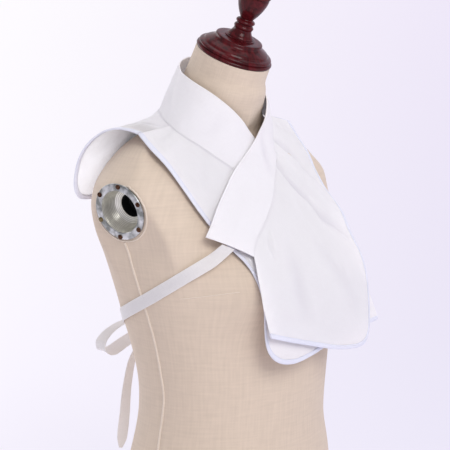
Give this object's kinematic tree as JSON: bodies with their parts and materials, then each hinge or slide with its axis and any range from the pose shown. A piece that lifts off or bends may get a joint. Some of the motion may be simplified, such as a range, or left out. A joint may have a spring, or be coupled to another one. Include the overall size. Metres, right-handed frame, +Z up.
{
  "type": "crossed false collar on a limbless dress form",
  "caption": "White cotton false collar with a crossed neck band, two short fronts, a cape-like back and side tapes tied in a bow behind, worn on a linen dress form.",
  "frame": {"origin": "on the dress form's flat base, on the form's middle plane and axis", "axes": "+Z up along the body, -Y the way the wearer faces, +X the wearer's left"},
  "size_m": [0.3863, 0.2909, 0.7611],
  "materials": {
    "cotton": "plain woven, matte",
    "bias_tape": "fine bias tape, soft",
    "cotton_tape": "woven tape, matte",
    "beige_linen": "fine linen, matte",
    "mahogany": "french polished",
    "steel": "spun, satin",
    "aged_brass": "tarnished"
  },
  "bodies": {
    "root": {"collar_band": "cotton", "front_left": "cotton", "front_right": "cotton", "back_panel": "cotton", "binding_front_left": "bias_tape", "binding_front_right": "bias_tape", "binding_back": "bias_tape", "tie_left": "cotton_tape", "tie_right": "cotton_tape", "bow_knot": "cotton_tape", "bow_loop_left": "cotton_tape", "bow_loop_right": "cotton_tape", "bow_tail_left": "cotton_tape", "bow_tail_right": "cotton_tape", "dress_form": "beige_linen", "neck_cap": "mahogany", "finial": "mahogany", "arm_socket_left": "steel", "arm_socket_right": "steel", "socket_screw_left_1": "aged_brass", "socket_screw_left_2": "aged_brass", "socket_screw_left_3": "aged_brass", "socket_screw_left_4": "aged_brass", "socket_screw_left_5": "aged_brass", "socket_screw_left_6": "aged_brass", "socket_screw_right_1": "aged_brass", "socket_screw_right_2": "aged_brass", "socket_screw_right_3": "aged_brass", "socket_screw_right_4": "aged_brass", "socket_screw_right_5": "aged_brass", "socket_screw_right_6": "aged_brass"}
  },
  "joints": []
}
